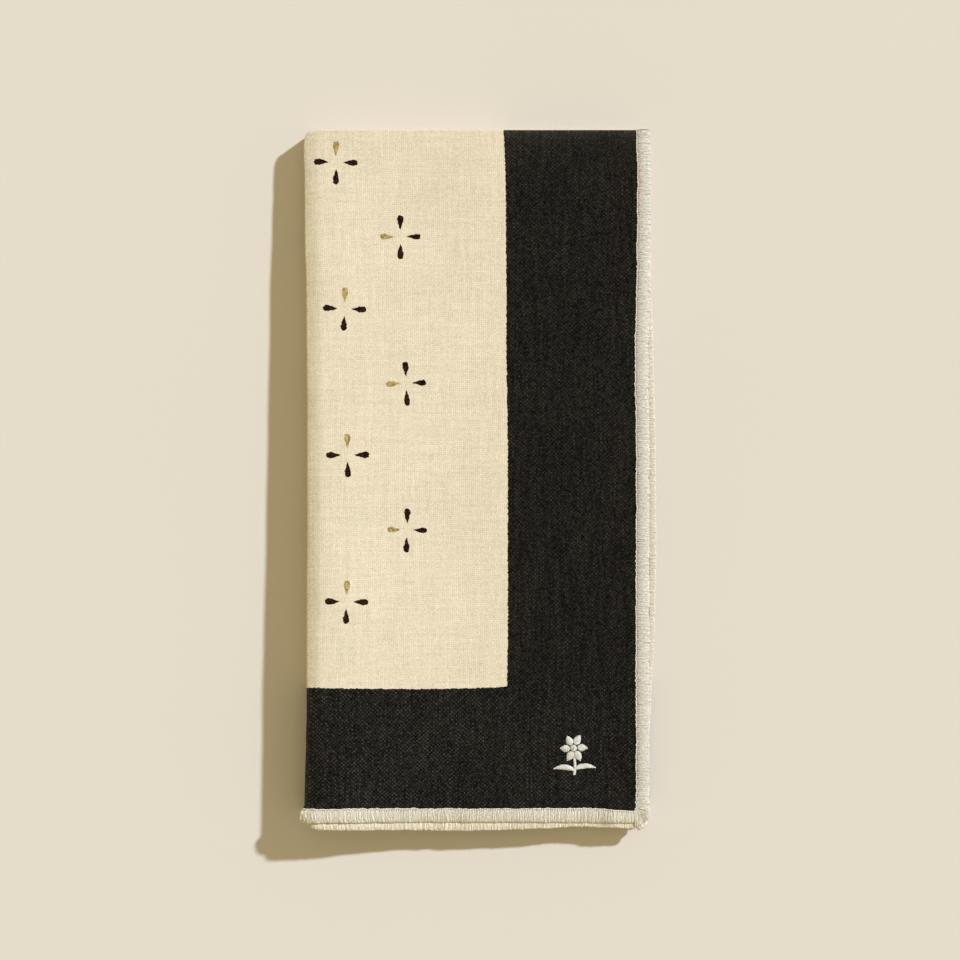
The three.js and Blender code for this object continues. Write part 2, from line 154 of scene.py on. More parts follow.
def place(u, v, h):
    """Where a point of the flat cloth lies when folded. u runs in from the top layer's
    cut edge on the right, v from its near edge; h is the height over the middle of the
    cloth, towards the printed side."""
    u, v, h = (np.asarray(a, float) for a in np.broadcast_arrays(u, v, h))
    behind = v > FRONT + ROUND / 2
    creased = (v > FRONT) & (v < FRONT + ROUND)
    round_share = np.clip((v - FRONT) / (ROUND / 2), 0, 2)
    angle = corner_angle(np.minimum(round_share, 2 - round_share), CREASE_PRESS)
    crease_cos, crease_sin = np.maximum(np.cos(angle), 0) ** CREASE_PRESS, np.sin(angle) ** CREASE_PRESS
    reach = OFFSET + h
    out = np.where(creased, reach * crease_cos * np.where(round_share > 1, -1, 1), np.where(behind, -reach, reach))
    from_near = np.where(behind, LENGTH_V - v, v)
    rough_y = FAR_FOLD_Y - FOLDED_LENGTH + np.clip(from_near, -10, FRONT)
    edge_top = RIGHT_EDGE_X + np.where(behind, table(RIGHT_EDGE, rough_y, 2), table(RIGHT_EDGE, rough_y, 1))
    edge_low = RIGHT_EDGE_X + np.where(behind, table(RIGHT_EDGE, rough_y, 3), table(RIGHT_EDGE, rough_y, 4))

    segment = np.clip(np.searchsorted(MARKS, u, side="right") - 1, 0, 6)
    t = u - MARKS[segment]
    x, z, nx, nz = (np.zeros_like(u) for _ in range(4))
    setback, dip, square_x, square_z = (np.zeros_like(u) for _ in range(4))

    def put(mask, xs, zs, ns):
        x[mask], z[mask], nx[mask], nz[mask] = xs, zs, ns[0], ns[1]

    m = segment == 0
    start = edge_top[m]
    xs = start + (BIG_X + BIG_R - start) * (t[m] / RUN[0])
    put(m, xs, LEVEL[3], (0, 1))
    dip[m] = corner_dip(1.1, 2.8, xs - BIG_X)
    m = segment == 1
    quarter = math.pi / 2 * BIG_R
    a = np.where(t[m] < quarter, corner_angle(np.clip(t[m] / quarter, 0, 1), FOLD_PRESS),
                 np.where(t[m] < quarter + RISER, math.pi / 2, (t[m] - RISER) / BIG_R))
    straight = np.clip(t[m] - quarter, 0, RISER)
    s, c = np.sin(a), np.cos(a)
    xs = BIG_X + BIG_R - BIG_R * s
    zs = LEVEL[3] - BIG_R + BIG_R * c - straight
    # the upper corner of the fold is pressed sharper than a circle on its outer side
    lift = np.where(t[m] < quarter, 1.0, 0.0) * (0.35 + 0.65 * np.clip(out[m] / SKIN, 0, 1))
    total = BIG_R + out[m]
    square_x[m] = -lift * total * (np.abs(s) ** FOLD_PRESS - np.abs(s))
    square_z[m] = lift * total * (np.abs(c) ** FOLD_PRESS - np.abs(c))
    put(m, xs, zs, (-s, c))
    dip[m] = corner_dip(1.1, 2.8, xs - BIG_X)
    m = segment == 2
    xs = BIG_X + BIG_R + (RIGHT_C - BIG_X - BIG_R) * (t[m] / RUN[1])
    put(m, xs, LEVEL[0], (0, -1))
    setback[m] = SETBACK[1][0] + (SETBACK[1][1] - SETBACK[1][0]) * t[m] / RUN[1]
    dip[m] = corner_dip(1.1, 2.8, xs - BIG_X) + corner_dip(0.9, 2.4, RIGHT_C + SMALL_R - xs)
    m = segment == 3
    a = t[m] / SMALL_R
    put(m, RIGHT_C + SMALL_R * np.sin(a), LEVEL[0] + PITCH - SMALL_R * np.cos(a), (np.sin(a), -np.cos(a)))
    setback[m] = SETBACK[1][1]
    dip[m] = corner_dip(0.9, 2.4, SMALL_R - SMALL_R * np.sin(a))
    m = segment == 4
    xs = RIGHT_C + (NEST_X - RIGHT_C) * (t[m] / RUN[2])
    put(m, xs, LEVEL[1], (0, 1))
    setback[m] = SETBACK[2][0] + (SETBACK[2][1] - SETBACK[2][0]) * t[m] / RUN[2]
    dip[m] = corner_dip(0.9, 2.4, RIGHT_C + SMALL_R - xs) + corner_dip(0.9, 2.4, xs - NEST_X + SMALL_R)
    m = segment == 5
    a = t[m] / SMALL_R
    put(m, NEST_X - SMALL_R * np.sin(a), LEVEL[1] + PITCH - SMALL_R * np.cos(a), (np.sin(a), np.cos(a)))
    setback[m] = SETBACK[2][1]
    dip[m] = corner_dip(0.9, 2.4, SMALL_R - SMALL_R * np.sin(a))
    m = segment == 6
    end = edge_low[m]
    xs = NEST_X + (end - NEST_X) * (t[m] / RUN[3])
    put(m, xs, LEVEL[2], (0, -1))
    setback[m] = SETBACK[3][0] + (SETBACK[3][1] - SETBACK[3][0]) * t[m] / RUN[3]
    dip[m] = corner_dip(0.9, 2.4, xs - NEST_X + SMALL_R)

    crease_y = FAR_FOLD_Y - SKIN - dip
    near_y = (FAR_FOLD_Y - FOLDED_LENGTH + setback
              - np.where(behind, table(NEAR_EDGE, x, 2), table(NEAR_EDGE, x, 1)))
    y = np.where(creased, crease_y + reach * crease_sin, near_y + (crease_y - near_y) * (from_near / FRONT))
    px = x + nx * out + square_x
    pz = z + nz * out + square_z
    # the second layer's edges stand out past the top one's and curl up a little
    second = behind & (segment == 0)
    past = np.clip(table(NEAR_EDGE, x, 2) - table(NEAR_EDGE, x, 1) + 1.0 - from_near, 0, 4)
    pz = pz + np.where(second, 0.70 * past**2 / (past**2 + 0.35), 0.0)
    past = np.clip(edge_top - RIGHT_EDGE_X - table(RIGHT_EDGE, y, 1) + 0.4 - u, 0, 4)
    pz = pz + np.where(second, 0.08 * past**2 / (past + 0.5), 0.0)
    share = np.clip(px / LEFT_FOLD_X, 0, 1)
    to_corner = np.clip((y - FAR_FOLD_Y) / FAR_CORNER_REACH + 1, 0, 1)
    corner_share = np.clip(1 - (px - LEFT_FOLD_X) / FAR_CORNER_WIDTH, 0, 1) ** 2
    moved = (px + share * table(LEFT_WAVE, y, 1)
             + FAR_CORNER_IN * (1 - np.sqrt(1 - to_corner**2)) * corner_share)
    # threads pressed down on the table lie flat on it
    return np.stack([moved, y, np.maximum(pz, 0) * height(px, y)], axis=-1)


# ---------------------------------------------------------------- mesh helpers
def new_mesh(name, points, faces, uvs=None):
    """points in millimetres; faces a list of equal-length index arrays; uvs a dict of
    name to one (u, v) per corner, in the faces' order."""
    mesh = bpy.data.meshes.new(name)
    counts = np.concatenate([np.full(len(f), f.shape[1]) for f in faces])
    flat = np.concatenate([f.ravel() for f in faces])
    mesh.vertices.add(len(points))
    mesh.vertices.foreach_set("co", (np.asarray(points) * MM).astype(np.float32).ravel())
    mesh.loops.add(len(flat))
    mesh.loops.foreach_set("vertex_index", flat.astype(np.int32))
    mesh.polygons.add(len(counts))
    starts = np.concatenate([[0], np.cumsum(counts)[:-1]])
    mesh.polygons.foreach_set("loop_start", starts.astype(np.int32))
    mesh.polygons.foreach_set("loop_total", counts.astype(np.int32))
    mesh.update(calc_edges=True)
    for uv_name, values in (uvs or {}).items():
        layer = mesh.uv_layers.new(name=uv_name)
        layer.data.foreach_set("uv", np.asarray(values, np.float32).ravel())
    mesh.polygons.foreach_set("use_smooth", np.ones(len(counts), bool))
    mesh.validate()
    obj = bpy.data.objects.new(name, mesh)
    bpy.context.scene.collection.objects.link(obj)
    return obj


def steps(start, stop, about):
    n = max(1, round(abs(stop - start) / about))
    return np.linspace(start, stop, n + 1)[1:]


# ---------------------------------------------------------------- the cloth
INSET = 0.45                # the cloth ends this far inside the thread at its edge
HEM_STEPS = np.array([INSET, 1.2, 2.2, 3.2, 3.8, 4.4, 5.0, 5.6, 6.6, 8.0])


def cloth_grid():
    m = MARKS
    u = [HEM_STEPS, steps(8.0, m[1] - 9.0, 1.75), m[1] - np.array([7.2, 5.6, 4.3, 3.2, 2.3, 1.6, 1.0, 0.5])]
    quarter = math.pi / 2 * BIG_R
    u += [m[1] + quarter * np.array([0, .16, .32, .41, .455, .485, .515, .545, .59, .68, .84, 1.0]), m[1] + quarter + steps(0, RISER, 1.05), m[1] + quarter + RISER + steps(0, quarter, 0.27)]
    u += [m[2] + np.array([0.6, 1.4, 2.4, 3.8, 5.8]), steps(m[2] + 5.8, m[3] - 5.0, 4.8), m[3] - np.array([3.4, 2.2, 1.3, 0.6])]
    u += [m[3] + np.linspace(0, TURN[1], 11)]
    u += [m[4] + np.array([0.6, 1.3, 2.2, 3.4, 5.0]), steps(m[4] + 5.0, m[5] - 5.0, 4.8), m[5] - np.array([3.4, 2.2, 1.3, 0.6])]
    u += [m[5] + np.linspace(0, TURN[2], 11)]
    u += [m[6] + np.array([0.6, 1.3, 2.2, 3.4, 5.0]), steps(m[6] + 5.0, m[7] - 8.0, 4.4)[:-1], m[7] - HEM_STEPS[::-1]]
    v = [HEM_STEPS, steps(8.0, FRONT - 6.0, 2.35), FRONT - np.array([4.2, 2.8, 1.7, 0.8])]
    crease = np.array([0, .25, .38, .45, .49, .53, .60, .75])
    v += [FRONT + ROUND / 2 * np.concatenate([crease, [1.0], 2 - crease[::-1]])]
    v += [FRONT + ROUND + np.array([0.9, 2.0, 3.6, 6.0]), steps(FRONT + ROUND + 6.0, LENGTH_V - 8.0, 5.0)[:-1], LENGTH_V - HEM_STEPS[::-1]]
    return np.concatenate(u), np.concatenate(v)


def thickness(u, v):
    """Half the cloth's thickness: less under the edge's thread, which presses it."""
    d = np.minimum(np.minimum(u, LENGTH_U - u), np.minimum(v, LENGTH_V - v))
    return 0.13 + (HALF - 0.13) * smooth((d - 3.0) / 2.3)


def make_cloth():
    gu, gv = cloth_grid()
    nu, nv = len(gu), len(gv)
    U, V = np.meshgrid(gu, gv, indexing="ij")
    # the square's corners are rounded, so the sheet draws in toward them
    in_v = np.minimum(V, LENGTH_V - V) - INSET
    hollow = np.clip(CORNER_R - in_v, 0, CORNER_R)
    off = CORNER_R - np.sqrt(np.maximum(0, CORNER_R**2 - hollow**2))
    first, last = RUN[0], RUN[3]
    U = np.where(U < first, U + off * (1 - U / first), U)
    U = np.where(U > LENGTH_U - last, U - off * (1 - (LENGTH_U - U) / last), U)
    t = thickness(U, V)
    points = np.concatenate([place(U, V, t).reshape(-1, 3), place(U, V, -t).reshape(-1, 3)])
    i, j = np.meshgrid(np.arange(nu - 1), np.arange(nv - 1), indexing="ij")
    a = (i * nv + j).ravel()
    top = np.stack([a, a + 1, a + nv + 1, a + nv], axis=1)
    low = top[:, ::-1] + nu * nv
    n = nu * nv
    k = np.arange(nv - 1)
    rims = []
    rims.append(np.stack([k, k + n, k + n + 1, k + 1], axis=1))                       # u start
    e = (nu - 1) * nv + k
    rims.append(np.stack([e + 1, e + n + 1, e + n, e], axis=1))                       # u end
    k = np.arange(nu - 1) * nv
    rims.append(np.stack([k + nv, k + nv + n, k + n, k], axis=1))                     # v start
    e = k + nv - 1
    rims.append(np.stack([e, e + n, e + nv + n, e + nv], axis=1))                     # v end
    faces = [top, low] + rims
    flat_uv = np.stack([U.ravel() / 500.0, V.ravel() / 500.0], axis=1)
    flat_uv = np.concatenate([flat_uv, flat_uv])
    corners = np.concatenate([f.ravel() for f in faces])
    # a second layout for baking, with nothing overlapping: printed side, reverse, rims
    bu, bv = gu / LENGTH_U, gv / LENGTH_V
    BU, BV = np.meshgrid(bu, bv, indexing="ij")
    top_uv = np.stack([0.003 + 0.485 * BU.ravel(), 0.003 + 0.994 * BV.ravel()], axis=1)
    low_uv = top_uv + np.array([0.490, 0.0])
    bake = [top_uv[top.ravel()], low_uv[low.ravel() - n]]
    for number, rim in enumerate(rims):
        along = (bv if number < 2 else bu)
        index = rim % n
        pos = along[index % nv] if number < 2 else along[index // nv]
        across = (rim >= n).astype(float)
        x0 = 0.982 + 0.004 * number
        bake.append(np.stack([(x0 + 0.003 * across).ravel(), (0.003 + 0.994 * pos).ravel()], axis=1))
    obj = new_mesh("printed_napkin", points, faces, {"flat": flat_uv[corners], "OFBake": np.concatenate(bake)})
    sides = np.zeros(sum(len(f) for f in faces), np.int32)
    sides[len(top):] = 1
    obj.data.polygons.foreach_set("material_index", sides)
    return obj


# ---------------------------------------------------------------- thread
def tubes(paths, lateral, wide, thick, sides=5, squash_top=None):
    """Closed tubes along many paths of equal length, in flat cloth coordinates (u, v, h).
    lateral is each path's flat sideways direction, wide and thick the half widths at
    each point of it. Gives points, still flat, and faces."""
    count, n, _ = paths.shape
    tangent = np.gradient(paths, axis=1)
    side = np.zeros_like(paths)
    side[..., :2] = lateral if lateral.ndim == 3 else lateral[:, None, :]
    side -= tangent * (np.sum(side * tangent, -1) / np.maximum(np.sum(tangent**2, -1), 1e-9))[..., None]
    side /= np.maximum(np.linalg.norm(side, axis=-1, keepdims=True), 1e-9)
    up = np.cross(tangent, side)
    up /= np.maximum(np.linalg.norm(up, axis=-1, keepdims=True), 1e-9)
    angle = 2 * math.pi * (np.arange(sides) + 0.5) / sides
    ring = (paths[:, :, None, :]
            + side[:, :, None, :] * (wide[:, :, None] * np.cos(angle))[..., None]
            + up[:, :, None, :] * (thick[:, :, None] * np.sin(angle))[..., None])
    points = ring.reshape(-1, 3)
    base = (np.arange(count) * n * sides)[:, None, None] + (np.arange(n - 1) * sides)[None, :, None]
    k = np.arange(sides)[None, None, :]
    k2 = (k + 1) % sides
    quads = np.stack([base + k, base + k2, base + sides + k2, base + sides + k], axis=-1).reshape(-1, 4)
    starts = (np.arange(count) * n * sides)[:, None]
    caps = np.concatenate([starts + np.arange(sides)[::-1][None, :], starts + (n - 1) * sides + np.arange(sides)[None, :]])
    return points, quads, caps


def hem_frames(side, length, other, corners):
    """Stitch places along one edge: outer and inner points, with s along the edge and d in from it. With corners the
    stitches fan round both."""
    first, last = HEM + 0.5, length - HEM - 0.5
    n = round((last - first) / STITCH)
    s = first + (np.arange(n) + 0.5) * (last - first) / n
    lean = 0.22 * np.sin(s / 9.3 + side) + 0.16 * np.sin(s / 4.1 + 2 * side) + rng.normal(0, 0.05, n)
    depth = HEM + 0.07 * np.sin(s / 2.7) + 0.10 * np.sin(s / 13.0 + side) + rng.normal(0, 0.06, n)
    if side == 0:       # the band is narrower by the top layer's corner
        depth = depth - 0.9 * np.exp(-(((s - first) / 9.0) ** 2))
    inner = np.stack([s, depth], 1)
    if side == 2:       # the other band's last stitches turn into that corner
        lean = lean - 1.1 * np.exp(-(s - first) / 1.6)
    outer = np.stack([s + lean, 0.09 * np.sin(s / 1.9 + side) * np.sin(s / 7.1) + rng.normal(0, 0.07, n)], 1)
    if not corners:
        return outer, inner
    many = 15
    phi = (np.arange(many) + 0.5) / many * (math.pi / 2)
    centre = np.array([HEM + 0.5, HEM + 0.5])
    direction = np.stack([-np.sin(phi), -np.cos(phi)], 1)
    fans = []
    for end in (0, 1):
        flat = 5.5 / np.maximum(np.abs(direction).max(1), 1e-6)
        radius = np.minimum(flat, 6.62 + 0.0 * phi)
        radius = radius - 0.15 + rng.normal(0, 0.10, many)
        if end == 0 and side == 0:      # the tail of thread left at the top layer's corner
            radius = radius - 0.15 * np.sin(phi) ** 2
            radius = radius + 3.3 * np.exp(-(((phi - math.radians(10)) / math.radians(9)) ** 2))
        o = centre + direction * radius[:, None]
        i = centre + direction * (0.5 + rng.normal(0, 0.06, many))[:, None]
        if end == 1:
            o, i = np.array([[length, 0]]) + o * [-1, 1], np.array([[length, 0]]) + i * [-1, 1]
        fans.append((o[::-1] if end == 0 else o, i[::-1] if end == 0 else i))
    outer = np.concatenate([fans[0][0], outer, fans[1][0]])
    inner = np.concatenate([fans[0][1], inner, fans[1][1]])
    return outer, inner


def make_hem(name, side, along_u, far):
    """The overlocking of one edge: two strands to a stitch over the top, round the edge
    and back under, and the needle's line of short stitches along its inner side."""
    length, other = (LENGTH_U, LENGTH_V) if along_u else (LENGTH_V, LENGTH_U)
    outer, inner = hem_frames(side, length, other, along_u)
    n = len(outer)
    ray = inner - outer
    reach = np.linalg.norm(ray, axis=1)
    ray /= reach[:, None]
    across = np.stack([ray[:, 1], -ray[:, 0]], 1)

    # which stitches are on a layer that nothing lies on, where the band stands proud
    s_mid = inner[:, 0]
    if along_u:
        open_top = (s_mid < MARKS[1] + 2.0) & (not far)
    else:
        open_top = (s_mid < FRONT + ROUND / 2) & (not far)
    proud = np.where(open_top, 1.0, 0.0)
    if along_u and not far:   # the stitches that go round the big fold stand out less and less
        proud = np.where(s_mid > MARKS[1] + 2.0, smooth((MARKS[1] + 8.0 - s_mid) / 4.0), proud)
    elif not along_u and not far:   # and the ones by the corner sink to the fan round it
        proud = proud * (1 - 0.5 * np.exp(-np.clip(s_mid - HEM, 0, None) / 2.5))

    spacing = np.linalg.norm(np.gradient(outer, axis=0), axis=1)
    spacing = np.clip(spacing, 0.5, 1.1)
    parts_p, parts_q, parts_c, total = [], [], [], 0
    tone = []
    # painted shade on the edge thread: both right edges darker, more where the top one's band stands proud and most
    # where they go round the far crease; the near front edge darker at its right-hand corner
    painted_hem_shade = (-5.5 * smooth((6.0 - outer[:, 0]) / 5.0) * (0.0 if far else 1.0) if along_u
              else -3.2 - 3.6 * proud - 4.0 * np.exp(-(((s_mid - FRONT - ROUND / 2) / 1.9) ** 2)))
    # painted shade on the right edges' thread where it turns round the edge, and painted light on the outer part of the
    # behind near edge's thread
    if not along_u:
        turned = np.array([0, 0, 0, 0, -0.6, -1.2, -1.7, -2.2, -2.5, -1.5, 0])
    elif far:
        turned = np.array([0, 0, 0, 0, 0, 0, 0.5, 1.6, 2.8, 1.0, 0])
    else:
        turned = np.zeros(11)
    for half in (-1, 1):
        frac = np.array([0.0, 0.50, 1.2, 2.3, 3.4, 4.2, 4.68, 4.84, 4.5, 2.4, 0.3] if along_u
                        else [0.0, 0.50, 1.2, 2.3, 3.4, 4.1, 4.5, 4.62, 4.3, 2.4, 0.3]) / 5.0
        under = np.array([0.28, 0.33, 0.385, 0.40, 0.38, 0.33, 0.16, -0.12, -0.40, -0.39, -0.33] if along_u and far
                         else [0.28, 0.33, 0.385, 0.40, 0.38, 0.34, 0.18, -0.06, -0.31, -0.37, -0.33])
        open_rise = np.array([0.30, 0.36, 0.45, 0.53, 0.50, 0.43, 0.22, -0.06, -0.31, -0.37, -0.33] if along_u
                             else [0.30, 0.43, 0.60, 0.74, 0.60, 0.40, 0.22, -0.06, -0.30, -0.36, -0.33])
        along = frac[None, :] * reach[:, None]
        bob = rng.normal(0, 0.012 if along_u else 0.006, n)
        h = under[None, :] + (open_rise - under)[None, :] * proud[:, None]
        h = h + rng.normal(0, 0.022 if along_u else 0.013, (n, 11)) + bob[:, None] * np.sign(under)
        # threads that reach past the edge hang down to the layer below
        h = h - 0.9 * np.clip(along - 6.4, 0, 1.2)
        jitter = rng.normal(0, 0.020, n)
        spread = 0.12 + (spacing[:, None] * 0.25 - 0.12) * smooth((along - 0.2) / 1.1) + jitter[:, None] * smooth(along / 2.5)
        point = np.empty((n, 11, 3))
        point[..., :2] = (inner[:, None, :] - ray[:, None, :] * along[..., None]
                          + across[:, None, :] * (half * spread + rng.normal(0, 0.036, (n, 11)) * smooth(along / 1.2))[..., None])
        point[..., 2] = h
        width_share = np.array([0.80, 0.78, 0.98, 1.05, 1.05, 1.0, 0.95, 0.95, 1.0, 1.0, 0.6])
        wide = (0.305 if along_u else 0.340) * width_share[None, :] * (spacing / 0.83)[:, None] * rng.normal(1.0, 0.09, n)[:, None]
        thick = np.full((n, 11), 0.092 if along_u else 0.080)
        thick[:, 0], thick[:, 6:8] = 0.10, np.minimum(thick[:, 6:8], 0.10)
        p, q, c = tubes(point, across, wide, thick)
        parts_p.append(p), parts_q.append(q + total), parts_c.append(c + total)
        total += len(p)
        # each stitch's random tone, plus the painted shade and light
        tone.append(np.repeat(((rng.normal(0, 0.7, n) + painted_hem_shade)[:, None] + turned[None, :]).ravel(), 5))
    # the needle's stitches
    step = np.gradient(inner, axis=0)
    step_len = np.maximum(np.linalg.norm(step, axis=1), 0.05)
    unit = step / step_len[:, None]
    share = np.array([-0.56, -0.25, 0.2, 0.52])
    lift = np.array([0.32, 0.47, 0.47, 0.33])
    lean = np.array([0.0, -0.13, -0.16, -0.02])
    bulge = rng.normal(1.0, 0.5, n)
    point = np.empty((n, 4, 3))
    point[..., :2] = (inner[:, None, :] + unit[:, None, :] * (share[None, :] * np.maximum(step_len, 0.30)[:, None])[..., None]
                      - ray[:, None, :] * 0.0 + ray[:, None, :] * (-lean[None, :] * bulge[:, None])[..., None])
    point[..., 2] = lift[None, :] + 0.02 * rng.normal(0, 1, n)[:, None]
    p, q, c = tubes(point, ray, np.full((n, 4), 0.22), np.full((n, 4), 0.15))
    parts_p.append(p), parts_q.append(q + total), parts_c.append(c + total)
    # the needle's stitches a little lighter, with the same painted shade
    tone.append(np.repeat(rng.normal(3.0, 1.2, n) + painted_hem_shade, 4 * 5))
    flat = np.concatenate(parts_p)
    s, d, h = flat.T
    u, v = (s, LENGTH_V - d if far else d) if along_u else (LENGTH_U - d if far else d, s)
    quads, caps = np.concatenate(parts_q), np.concatenate(parts_c)
    # the mapping to (u, v) mirrors some edges, so their faces turn round
    if (along_u and not far) or (not along_u and far):
        quads, caps = quads[:, ::-1], caps[:, ::-1]
    obj = new_mesh(name, place(u, v, h), [quads, caps])
    # the tone carries each stitch's random tone and the painted shade and light
    attr = obj.data.attributes.new("tone", "FLOAT", "POINT")
    attr.data.foreach_set("value", np.concatenate(tone).astype(np.float32))
    attr = obj.data.attributes.new("side", "FLOAT", "POINT")
    attr.data.foreach_set("value", smooth((h + 0.1) / 0.2).astype(np.float32))
    return obj


# ---------------------------------------------------------------- the small embroidered blossom
BLOSSOM = (27.7, 24.5)      # middle of it, in flat coordinates


def satin(shape_axis, half_width, pitch=0.30, height_mm=0.34, slant=0.0):
    """Satin stitches across a shape: its axis as points, its half width along it."""
    axis = np.asarray(shape_axis, float)
    lengths = np.concatenate([[0], np.cumsum(np.linalg.norm(np.diff(axis, axis=0), axis=1))])
    n = max(3, round(lengths[-1] / pitch))
    at = (np.arange(n) + 0.5) / n
    pos = np.stack([np.interp(at * lengths[-1], lengths, axis[:, k]) for k in (0, 1)], 1)
    tangent = np.gradient(pos, axis=0)
    tangent /= np.linalg.norm(tangent, axis=1)[:, None]
    ang = slant
    turned = np.stack([tangent[:, 0] * math.cos(ang) - tangent[:, 1] * math.sin(ang),
                       tangent[:, 0] * math.sin(ang) + tangent[:, 1] * math.cos(ang)], 1)
    across = np.stack([-turned[:, 1], turned[:, 0]], 1)
    w = np.maximum(half_width(at), 0.16) + rng.normal(0, 0.045, n)
    share = np.array([-1.0, -0.86, -0.5, 0.0, 0.5, 0.86, 1.0])
    arch = np.array([-0.10, 0.62, 0.93, 1.0, 0.93, 0.62, -0.10])
    tall = height_mm * np.clip(w / 0.9, 0.45, 1.0) * rng.normal(1, 0.05, n)
    path = np.empty((n, 7, 3))
    path[..., :2] = pos[:, None, :] + across[:, None, :] * (share[None, :] * w[:, None])[..., None]
    path[..., 2] = HALF - 0.02 + arch[None, :] * tall[:, None]
    return path, turned


def make_blossom():
    shapes = []
    heart = np.array([0.0, 2.6])

    def petal(t):
        return 1.28 * np.sin(np.clip(t, 0, 1) ** 0.75 * math.pi) ** 0.8

    for k in range(6):
        a = math.radians(60 * k + 3 * math.sin(k * 2.1))
        d = np.array([math.cos(a), math.sin(a)])
        side = np.array([-d[1], d[0]])
        reach = 5.0 + 0.2 * math.sin(k * 1.7)
        axis = [heart + d * (1.35 + (reach - 1.35) * t) + side * 0.18 * math.sin(math.pi * t) for t in np.linspace(0, 1, 9)]
        shapes.append((axis, petal, 0.30, 0.36, 0.0))
    stem = [np.array([0.55 * math.sin(t * 2.6) - 0.05, 1.0 - 8.1 * t]) for t in np.linspace(0, 1, 12)]
    shapes.append((stem, lambda t: 0.46 + 0.0 * t, 0.32, 0.26, 0.5))

    def leaf(t):
        return 1.12 * np.sin(np.clip(t, 0, 1) ** 0.8 * math.pi) ** 0.9

    for sign in (-1, 1):
        root = np.array([0.35, -5.6 + 0.5 * (sign > 0)])
        axis = [root + np.array([sign * 7.6 * t, 2.6 * t - 1.9 * t * t + 0.5 * math.sin(math.pi * t)]) for t in np.linspace(0, 1, 12)]
        shapes.append((axis, leaf, 0.30, 0.33, 0.55 * sign))
    points, quads, caps, tone, total = [], [], [], [], 0
    for axis, width, pitch, tall, slant in shapes:
        path, turned = satin(axis, width, pitch, tall, slant)
        m = len(path)
        p, q, c = tubes(path, turned, np.full((m, 7), 0.17), np.full((m, 7), 0.12))
        points.append(p), quads.append(q + total), caps.append(c + total)
        tone.append(np.repeat(rng.normal(0, 1, m), 35))
        total += len(p)
    # the knot in the middle: rounds of thread, each a little higher and smaller
    for ring_r, lift in ((1.02, 0.10), (0.72, 0.26), (0.40, 0.38)):
        turn = np.linspace(0, 2 * math.pi, 19)[:-1]
        for k in range(0, 18, 3):
            arc = np.linspace(turn[k], turn[k] + 2 * math.pi / 6 * 1.12, 6)
            path = np.stack([heart[0] + ring_r * np.cos(arc), heart[1] + ring_r * np.sin(arc),
                             HALF + lift + 0.05 * np.sin(np.linspace(0, math.pi, 6))], 1)[None]
            radial = np.stack([np.cos(arc), np.sin(arc)], 1)[None]
            p, q, c = tubes(path, radial, np.full((1, 6), 0.20), np.full((1, 6), 0.16))
            points.append(p), quads.append(q + total), caps.append(c + total)
            tone.append(np.repeat(rng.normal(0, 1, 1), 30))
            total += len(p)
    flat = np.concatenate(points)
    place_uv = place(BLOSSOM[0] - flat[:, 0], BLOSSOM[1] + flat[:, 1], flat[:, 2])
    obj = new_mesh("embroidered_blossom", place_uv, [np.concatenate(quads), np.concatenate(caps)])
    attr = obj.data.attributes.new("tone", "FLOAT", "POINT")
    attr.data.foreach_set("value", np.concatenate(tone).astype(np.float32))
    return obj


# ---------------------------------------------------------------- node helper
class Value:
    """A socket or a number that can be added, multiplied and so on."""

    def __init__(self, net, out):
        self.net, self.out = net, out

    def op(self, name, *others, clamp=False):
        node = self.net.tree.nodes.new("ShaderNodeMath")
        node.operation = name
        node.use_clamp = clamp
        for socket, value in zip(node.inputs, (self, *others)):
            raw = value.out if isinstance(value, Value) else value
            if isinstance(raw, (int, float)):
                socket.default_value = raw
            else:
                self.net.tree.links.new(raw, socket)
        return Value(self.net, node.outputs[0])

    def __add__(self, o): return self.op("ADD", o)
    def __radd__(self, o): return self.op("ADD", o)
    def __sub__(self, o): return self.op("SUBTRACT", o)
    def __rsub__(self, o): return self.op("MULTIPLY", -1.0).op("ADD", o)
    def __mul__(self, o): return self.op("MULTIPLY", o)
    def __rmul__(self, o): return self.op("MULTIPLY", o)
    def __truediv__(self, o): return self.op("DIVIDE", o)
    def floor(self): return self.op("FLOOR")
    def fract(self): return self.op("FRACT")
    def round(self): return self.op("ROUND")
    def abs(self): return self.op("ABSOLUTE")
    def sin(self): return self.op("SINE")
    def sqrt(self): return self.op("SQRT")
    def min(self, o): return self.op("MINIMUM", o)
    def max(self, o): return self.op("MAXIMUM", o)
    def gt(self, o): return self.op("GREATER_THAN", o)
    def lt(self, o): return self.op("LESS_THAN", o)
    def power(self, o): return self.op("POWER", o)
    def clamp(self): return self.op("ADD", 0.0, clamp=True)


